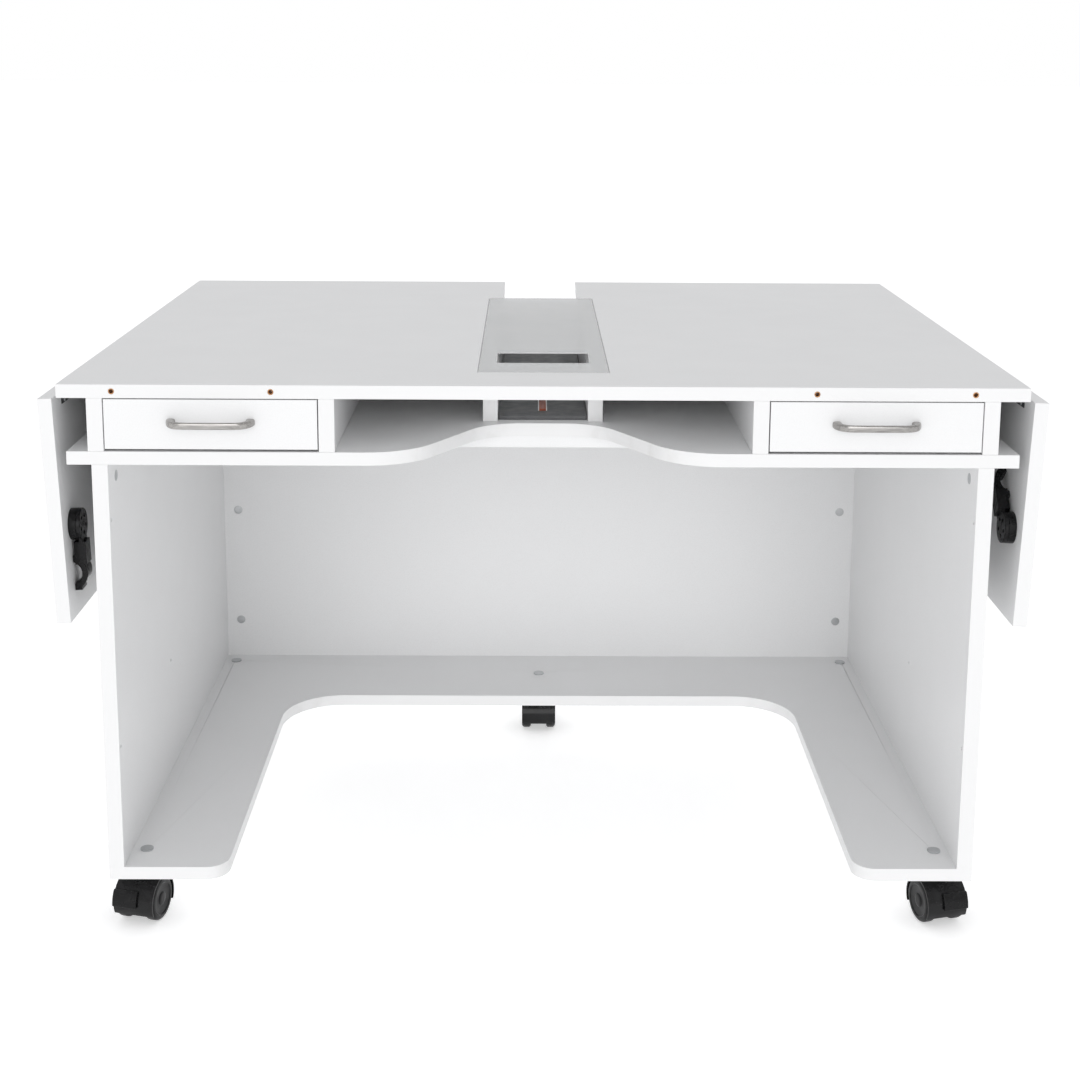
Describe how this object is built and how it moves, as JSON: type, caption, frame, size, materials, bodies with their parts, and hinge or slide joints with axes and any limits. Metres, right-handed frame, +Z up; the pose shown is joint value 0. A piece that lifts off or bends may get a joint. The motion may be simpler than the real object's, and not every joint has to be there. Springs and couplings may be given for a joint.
{
  "type": "sewing table",
  "caption": "Wheeled white sewing table with a clear insert over its machine slot, drop leaves, drawers, cubbies and a curved knee space.",
  "frame": {"origin": "on the floor, under the middle of the bounding box", "axes": "+Z up, +X to the seated user's right, +Y away from the user"},
  "size_m": [1.3202, 1.005, 0.768],
  "materials": {
    "white_board": "satin white laminate on board",
    "clear_plate": "clear acrylic",
    "dark_board": "dark grey laminate",
    "brown_wood": "varnished wood",
    "white_plastic": "white plastic",
    "brass": "plain",
    "zinc": "zinc plated",
    "dark_steel": "black plated steel",
    "nickel": "brushed nickel",
    "black_plastic": "moulded black",
    "black_gloss": "moulded black",
    "tread": "hard tread"
  },
  "bodies": {
    "frame": {"top_panel": "white_board", "clear_insert": "clear_plate", "threaded_inserts": "brass", "upper_shelf": "white_board", "outer_divider_left": "white_board", "outer_divider_right": "white_board", "inner_divider_left": "white_board", "inner_divider_right": "white_board", "mid_divider_left": "white_board", "mid_divider_right": "white_board", "upper_rear_wall": "white_board", "shelf_rail": "white_board", "machine_tray": "dark_board", "tray_strip": "brown_wood", "strip_edging": "white_plastic", "wall_batten": "white_board", "tray_stop": "white_plastic", "lower_shelf": "white_board", "side_panel_left": "white_board", "side_panel_right": "white_board", "back_panel": "white_board", "cam_locks": "zinc", "drawer_channels": "zinc", "fixed_hinge_flanges": "dark_steel", "hinge_pins": "dark_steel", "caster_stems": "zinc"},
    "drawer_left": {"drawer_front_left": "white_board", "drawer_walls_left": "white_board", "drawer_bottom_left": "white_board", "drawer_runners_left": "zinc", "drawer_handle_left": "nickel", "handle_screws_left": "zinc"},
    "drawer_right": {"drawer_front_right": "white_board", "drawer_walls_right": "white_board", "drawer_bottom_right": "white_board", "drawer_runners_right": "zinc", "drawer_handle_right": "nickel", "handle_screws_right": "zinc"},
    "leaf_left": {"leaf_left": "white_board", "leaf_flange_left": "dark_steel", "leaf_hinge_screws_left": "zinc", "hook_base_left": "black_plastic"},
    "hook_left": {"hook_arm_left": "black_plastic"},
    "leaf_right": {"leaf_right": "white_board", "leaf_flange_right": "dark_steel", "leaf_hinge_screws_right": "zinc", "hook_base_right": "black_plastic"},
    "hook_right": {"hook_arm_right": "black_plastic"},
    "caster_front_left": {"caster_housing_front_left": "black_gloss"},
    "wheels_front_left": {"caster_wheels_front_left": "tread"},
    "pedal_front_left": {"brake_pedal_front_left": "black_plastic"},
    "caster_front_right": {"caster_housing_front_right": "black_gloss"},
    "wheels_front_right": {"caster_wheels_front_right": "tread"},
    "pedal_front_right": {"brake_pedal_front_right": "black_plastic"},
    "caster_rear_left": {"caster_housing_rear_left": "black_gloss"},
    "wheels_rear_left": {"caster_wheels_rear_left": "tread"},
    "caster_rear_right": {"caster_housing_rear_right": "black_gloss"},
    "wheels_rear_right": {"caster_wheels_rear_right": "tread"},
    "caster_rear_middle": {"caster_housing_rear_middle": "black_gloss"},
    "wheels_rear_middle": {"caster_wheels_rear_middle": "tread"}
  },
  "joints": [
    {"name": "drawer_left_slide", "type": "slide", "parent": "frame", "child": "drawer_left", "axis": [0, -1, 0], "range_m": [0, 0.3]},
    {"name": "drawer_right_slide", "type": "slide", "parent": "frame", "child": "drawer_right", "axis": [0, -1, 0], "range_m": [0, 0.3]},
    {"name": "leaf_left_hinge", "type": "hinge", "parent": "frame", "child": "leaf_left", "pos_m": [-0.6385, 0.013, 0.7465], "axis": [0, 1, 0], "range_deg": [0, 92]},
    {"name": "hook_left_swivel", "type": "hinge", "parent": "leaf_left", "child": "hook_left", "pos_m": [-0.63381, -0.4315, 0.56754], "axis": [0.9992, 0, 0.0401], "range_deg": [-135, 135]},
    {"name": "leaf_right_hinge", "type": "hinge", "parent": "frame", "child": "leaf_right", "pos_m": [0.6385, 0.013, 0.7465], "axis": [0, -1, 0], "range_deg": [0, 92]},
    {"name": "hook_right_swivel", "type": "hinge", "parent": "leaf_right", "child": "hook_right", "pos_m": [0.63381, -0.4315, 0.56754], "axis": [-0.9992, 0, 0.0401], "range_deg": [0, 270]},
    {"name": "caster_front_left_swivel", "type": "hinge", "parent": "frame", "child": "caster_front_left", "pos_m": [-0.552, -0.4235, 0.06], "axis": [0, 0, 1], "continuous": true},
    {"name": "wheels_front_left_spin", "type": "hinge", "parent": "caster_front_left", "child": "wheels_front_left", "pos_m": [-0.55562, -0.43702, 0.03], "axis": [0.9659, -0.2588, 0], "continuous": true},
    {"name": "pedal_front_left_tilt", "type": "hinge", "parent": "caster_front_left", "child": "pedal_front_left", "pos_m": [-0.55562, -0.43702, 0.03], "axis": [0.9659, -0.2588, 0], "range_deg": [0, 12]},
    {"name": "caster_front_right_swivel", "type": "hinge", "parent": "frame", "child": "caster_front_right", "pos_m": [0.552, -0.4235, 0.06], "axis": [0, 0, 1], "continuous": true},
    {"name": "wheels_front_right_spin", "type": "hinge", "parent": "caster_front_right", "child": "wheels_front_right", "pos_m": [0.55562, -0.43702, 0.03], "axis": [0.9659, 0.2588, 0], "continuous": true},
    {"name": "pedal_front_right_tilt", "type": "hinge", "parent": "caster_front_right", "child": "pedal_front_right", "pos_m": [0.55562, -0.43702, 0.03], "axis": [0.9659, 0.2588, 0], "range_deg": [0, 12]},
    {"name": "caster_rear_left_swivel", "type": "hinge", "parent": "frame", "child": "caster_rear_left", "pos_m": [-0.552, 0.3125, 0.06], "axis": [0, 0, 1], "continuous": true},
    {"name": "wheels_rear_left_spin", "type": "hinge", "parent": "caster_rear_left", "child": "wheels_rear_left", "pos_m": [-0.552, 0.2985, 0.03], "axis": [1, 0, 0], "continuous": true},
    {"name": "caster_rear_right_swivel", "type": "hinge", "parent": "frame", "child": "caster_rear_right", "pos_m": [0.552, 0.3125, 0.06], "axis": [0, 0, 1], "continuous": true},
    {"name": "wheels_rear_right_spin", "type": "hinge", "parent": "caster_rear_right", "child": "wheels_rear_right", "pos_m": [0.552, 0.2985, 0.03], "axis": [1, 0, 0], "continuous": true},
    {"name": "caster_rear_middle_swivel", "type": "hinge", "parent": "frame", "child": "caster_rear_middle", "pos_m": [0, 0.2535, 0.06], "axis": [0, 0, 1], "continuous": true},
    {"name": "wheels_rear_middle_spin", "type": "hinge", "parent": "caster_rear_middle", "child": "wheels_rear_middle", "pos_m": [0, 0.2395, 0.03], "axis": [1, 0, 0], "continuous": true}
  ]
}
